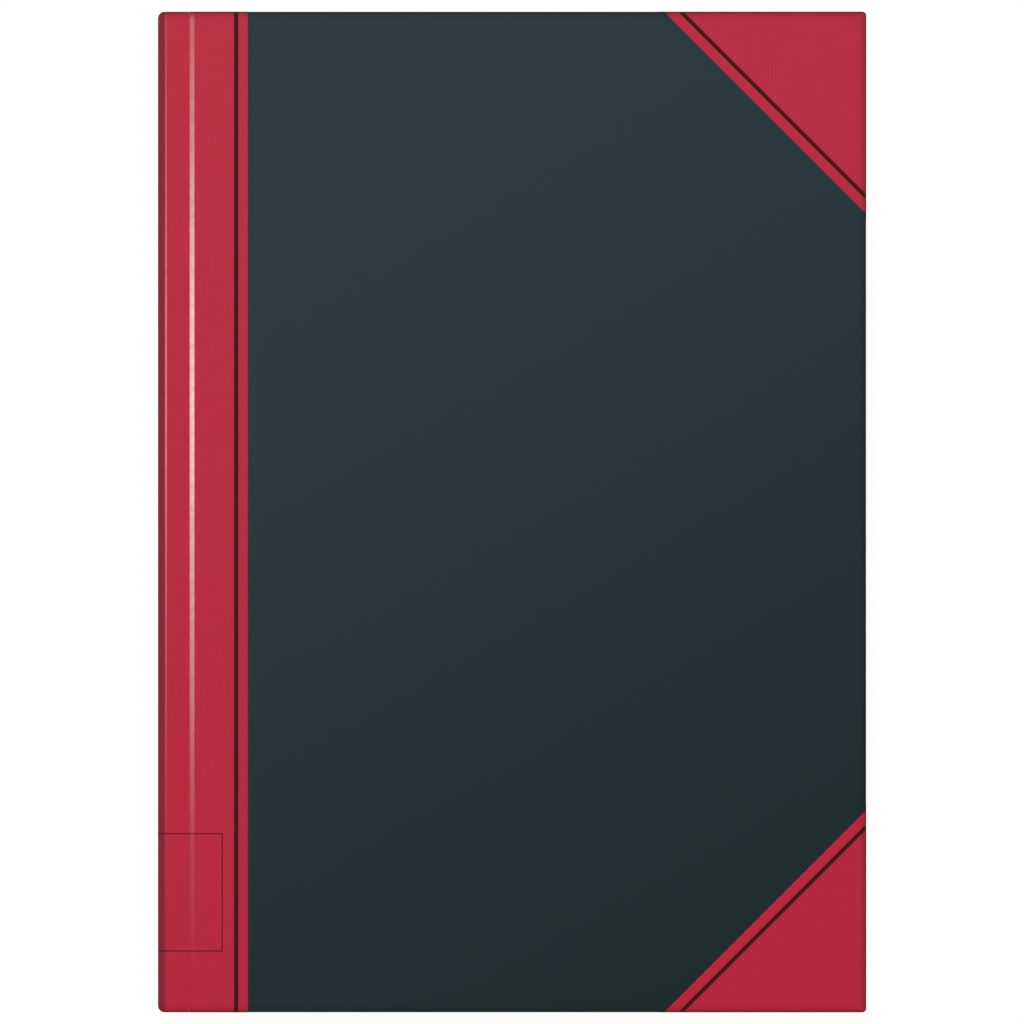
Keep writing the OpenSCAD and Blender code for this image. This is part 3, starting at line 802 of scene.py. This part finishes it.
# How strong the painted highlights are along the spine, from the tail (0) to the head (1).
HIGHLIGHT_ALONG = (
    (0.04, 0.0), (0.17, 0.06), (0.25, 0.165), (0.35, 0.35), (0.45, 0.59), (0.54, 0.85), (0.62, 0.93),
    (0.70, 0.87), (0.83, 0.5), (0.975, 0.2), (0.994, 0.18), (0.997, 0.0),
)
LABEL = {"reach": 19.5 * MM, "low": 18.6 * MM, "high": 54.1 * MM, "half_line": 0.2 * MM}
middle_z = (front_z + back_z) / 2
spine_box = node_box("spine_cloth")
shoulder_r = spine_box[1].x - spine_x
joint_z = spine_box[1].z
board_box = node_box("front_board")
riser_x = board_box[0].x - (front_z - board_box[1].z)
crease_x = riser_x - JOINT_CREASE_R
crown_x = riser_x + BOARD_EDGE_R
inner_z = front_z - covered_t["front"]


def end_at(x):
    """How far the case reaches in Y at an X: to the head, by a quarter circle at the spine's corner."""
    before = np.clip(SPINE_CORNER_R - (x - spine_x), 0, SPINE_CORNER_R)
    return head_y - SPINE_CORNER_R + np.sqrt(SPINE_CORNER_R**2 - before**2)


def arc(x, z, radius, start, end, count):
    """Points on an arc in X and Z, from one angle to another, in degrees from +X towards +Z."""
    angle = np.radians(np.linspace(start, end, count))
    return np.stack([x + radius * np.cos(angle), z + radius * np.sin(angle)], axis=-1)


joint_x = bent_columns(hinge_x, joint_end, crease_x, 15, 16)[:-1]
face_x = np.concatenate(
    [
        np.linspace(crown_x, rule_box[0].x - STAMP_CLEAR, 20)[1:],
        np.linspace(rule_box[0].x - STAMP_SOFT, rule_box[0].x, 5),
        np.linspace(rule_box[0].x, rule_box[1].x, 4)[1:-1],
        np.linspace(rule_box[1].x, rule_box[1].x + STAMP_SOFT, 5),
        np.linspace(rule_box[1].x + STAMP_CLEAR, strip_x - CUT_EDGE_R, 6),
    ]
)
face_z = front_z - pressed(face_x, rule_box[0].x, rule_box[1].x)
outer = np.concatenate(
    [
        np.linspace((spine_x, middle_z), (spine_x, joint_z - shoulder_r), 6)[:-1],
        arc(spine_x + shoulder_r, joint_z - shoulder_r, shoulder_r, 180, 90, 18),
        np.stack([joint_x, np.full_like(joint_x, joint_z)], axis=-1),
        arc(crease_x, joint_z + JOINT_CREASE_R, JOINT_CREASE_R, -90, 0, 7),
        arc(crown_x, front_z - BOARD_EDGE_R, BOARD_EDGE_R, 180, 90, 14),
        np.stack([face_x, face_z], axis=-1),
        arc(strip_x - CUT_EDGE_R, front_z - CUT_EDGE_R, CUT_EDGE_R, 90, 0, 6)[1:],
    ]
)
run = np.concatenate([[0], np.cumsum(np.hypot(*np.diff(outer, axis=0).T))])
run = run - run[-1] + strip_x


def run_at_x(x):
    """Where an X on the outer face lies on the flat cloth."""
    return float(np.interp(x, outer[:, 0], run))


on_shoulder = outer[:, 0] <= spine_x + shoulder_r
shoulder_at = np.array([spine_x + shoulder_r, joint_z - shoulder_r])
over_card = np.interp(outer[:, 0] - spine_x, CARD_RAMP, [SPINE_FOLD, JOINT_FOLD])
shrunk = shoulder_at + (outer - shoulder_at) * (1 - over_card / shoulder_r)[:, None]
shrunk[:, 1] = np.where(outer[:, 1] < joint_z - shoulder_r, outer[:, 1], shrunk[:, 1])
inner_x = np.interp(run, [run_at_x(crease_x), run_at_x(crown_x)], [crease_x, crown_x])
inner_x = np.where((outer[:, 0] < crease_x) | (outer[:, 0] > crown_x), outer[:, 0], inner_x)
inner_level = np.interp(outer[:, 0], [crease_x, riser_x], [joint_z - JOINT_FOLD, inner_z])
inner = np.where(on_shoulder[:, None], shrunk, np.stack([inner_x, inner_level], axis=-1))
fold = np.hypot(*(inner - outer).T)
fold_r = np.minimum(COVER_EDGE_R, fold / 2)
turn_x = [spine_x + TURN_RAMP[0], spine_x + TURN_RAMP[1], crease_x, crown_x]
turn = np.interp(outer[:, 0], turn_x, [SPINE_TURN, JOINT_TURN, JOINT_TURN, BOARD_TURN])
bend = np.radians(np.linspace(0, 90, 7))[:, None]
down = [fold_r * (1 - np.cos(bend)), fold - fold_r * (1 - np.sin(bend)), fold[None, :]]
sunk = np.concatenate(down) / fold
end_y = end_at(outer[:, 0] + sunk * (inner - outer)[:, 0])
out = [fold_r * np.sin(bend), fold_r * np.cos(bend), (fold_r - turn)[None, :]]
end_rows = np.concatenate(out) - fold_r + end_y
face_rows = np.linspace(-1, 1, 81)[:, None] * (end_y[0] - fold_r)
rows_y = np.concatenate([-end_rows[:0:-1], face_rows, end_rows[1:]])
rows_sunk = np.concatenate([sunk[:0:-1], 0 * face_rows, sunk[1:]])[..., None]
rows_xz = outer + rows_sunk * (inner - outer)
steps = np.hypot(np.linalg.norm(np.diff(rows_xz, axis=0), axis=-1), np.diff(rows_y, axis=0))
lengths = np.concatenate([np.zeros((1, len(run))), np.cumsum(steps, axis=0)])
lengths = lengths - lengths[len(lengths) // 2]
strip_flat = np.stack(np.broadcast_arrays(run[None, :], lengths), axis=-1)

# Painted highlight lines: a mask across a band of the flat cloth with soft sides, strongest towards the
# middle of the spine's length and fading towards head and tail, patchy, and never below Least.
light_line_group, takes, gives = new_group(
    "rubbed_ridge",
    {"Place": "Vector", "From": "Float", "To": "Float", "Soft": "Float", "Least": "Float"},
    {"Mask": "Float"},
)
place = put(light_line_group, "ShaderNodeSeparateXYZ", {0: takes["Place"]}).outputs
before = calc(light_line_group, "SUBTRACT", takes["From"], place["X"])
beyond = calc(light_line_group, "SUBTRACT", place["X"], takes["To"])
near = put(
    light_line_group,
    "ShaderNodeMapRange",
    {0: calc(light_line_group, "MAXIMUM", before, beyond), 1: 0.0, 2: takes["Soft"], 3: 1.0, 4: 0.0},
    interpolation_type="SMOOTHSTEP",
).outputs[0]
along_length = put(light_line_group, "ShaderNodeMapRange", {0: place["Y"], 1: tail_y, 2: head_y, 3: 0.0, 4: 1.0})
highlight_profile = put(light_line_group, "ShaderNodeValToRGB", {0: along_length.outputs[0]})
ramp = highlight_profile.color_ramp.elements
ramp[0].position = HIGHLIGHT_ALONG[0][0]
ramp[1].position = HIGHLIGHT_ALONG[-1][0]
for position, highlight_share in HIGHLIGHT_ALONG[1:-1]:
    ramp.new(position)
for element, (position, highlight_share) in zip(ramp, HIGHLIGHT_ALONG):
    element.color = (highlight_share, highlight_share, highlight_share, 1.0)
patchy = put(light_line_group, "ShaderNodeTexNoise", {"Vector": takes["Place"], "Scale": 450.0, "Detail": 3.0})
uneven = put(light_line_group, "ShaderNodeMapRange", {0: patchy.outputs[0], 1: 0.3, 2: 0.6, 3: 0.75, 4: 1.0})
highlight_share = calc(light_line_group, "MULTIPLY", highlight_profile.outputs[0], uneven.outputs[0])
highlight_share = calc(light_line_group, "MAXIMUM", highlight_share, takes["Least"])
light_line_group.links.new(calc(light_line_group, "MULTIPLY", near, highlight_share), gives["Mask"])

spine_material, tree, flat, inside, colour, shader = cloth_material("spine_cloth")
place = put(tree, "ShaderNodeSeparateXYZ", {0: flat}).outputs
shade_to = run_at_x(spine_x + shoulder_r) + 0.1 * MM
shading = {0: place["X"], 1: shade_to - SHADE_RUN, 2: shade_to, 3: 0.62, 4: 0.0}
shaded = put(tree, "ShaderNodeMapRange", shading).outputs[0]
colour = mix_colour(tree, shaded, colour, paint(87, 27, 37))
# Painted light on the edge of the crease, lifting its shade, and painted highlights on the ridge over the
# board's edge and on the line along the shoulder
for lit_from, lit_to, soft, least, lit_colour in (
    (riser_x - 0.1 * MM, riser_x + 0.15 * MM, 0.1 * MM, 1.0, paint(204, 54, 76)),
    (riser_x + 0.2 * MM, riser_x + 1.4 * MM, 0.35 * MM, 0.0, paint(255, 205, 200)),
    (spine_x + 2.35 * MM, spine_x + 2.6 * MM, 0.15 * MM, 0.0, paint(238, 135, 145)),
):
    reach = {"From": run_at_x(lit_from), "To": run_at_x(lit_to), "Soft": soft, "Least": least}
    lit_line = put(tree, "ShaderNodeGroup", {"Place": flat, **reach}, node_tree=light_line_group)
    colour = mix_colour(tree, lit_line.outputs[0], colour, lit_colour)
label_middle = tail_y + (LABEL["low"] + LABEL["high"]) / 2
out_x = calc(tree, "SUBTRACT", place["X"], run_at_x(spine_x + LABEL["reach"]))
out_y = calc(tree, "ABSOLUTE", calc(tree, "SUBTRACT", place["Y"], label_middle))
out_y = calc(tree, "SUBTRACT", out_y, (LABEL["high"] - LABEL["low"]) / 2)
drawn = calc(tree, "ABSOLUTE", calc(tree, "MAXIMUM", out_x, out_y))
drawn = calc(tree, "MULTIPLY", calc(tree, "LESS_THAN", drawn, LABEL["half_line"]), 0.85)
colour = mix_colour(tree, drawn, colour, paint(70, 14, 22))
colour = stamped(tree, colour, place["X"], rule_box[0].x, rule_box[1].x, inside)
tree.links.new(colour, shader.inputs["Base Color"])

for side in ("front", "back"):
    strip_z = rows_xz[..., 1] if side == "front" else front_z + back_z - rows_xz[..., 1]
    strip = np.stack([rows_xz[..., 0], rows_y, strip_z], axis=-1)
    name = side + "_spine_cloth"
    stands_for = [side + "_hinge_cloth"] + ["spine_cloth"] * (side == "front")
    mesh = make_mesh(name, *patch(side, strip, strip_flat))
    cloth = add_piece(name, mesh, spine_material, "book_cloth", *stands_for)
    thicken(cloth, CLOTH_T)
    bend_over_joint(cloth, side)

    ends = np.array([tail_y + COVER_EDGE_R, head_y - COVER_EDGE_R])
    columns = np.array([rule_box[0].x, rule_box[1].x])
    foil_faces = [lay(side, *np.meshgrid(columns, ends), STAMP - lift) for lift in (FOIL_T, -FOIL_T)]
    points, faces = closed_sheet(*foil_faces)
    name = side + "_spine_foil"
    mesh = make_mesh(name, points, faces[:, ::-1] if side == "back" else faces)
    foil = add_piece(name, mesh, foil_material, "rule_foil", side + "_spine_rule")
    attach(foil, side + "_cover")
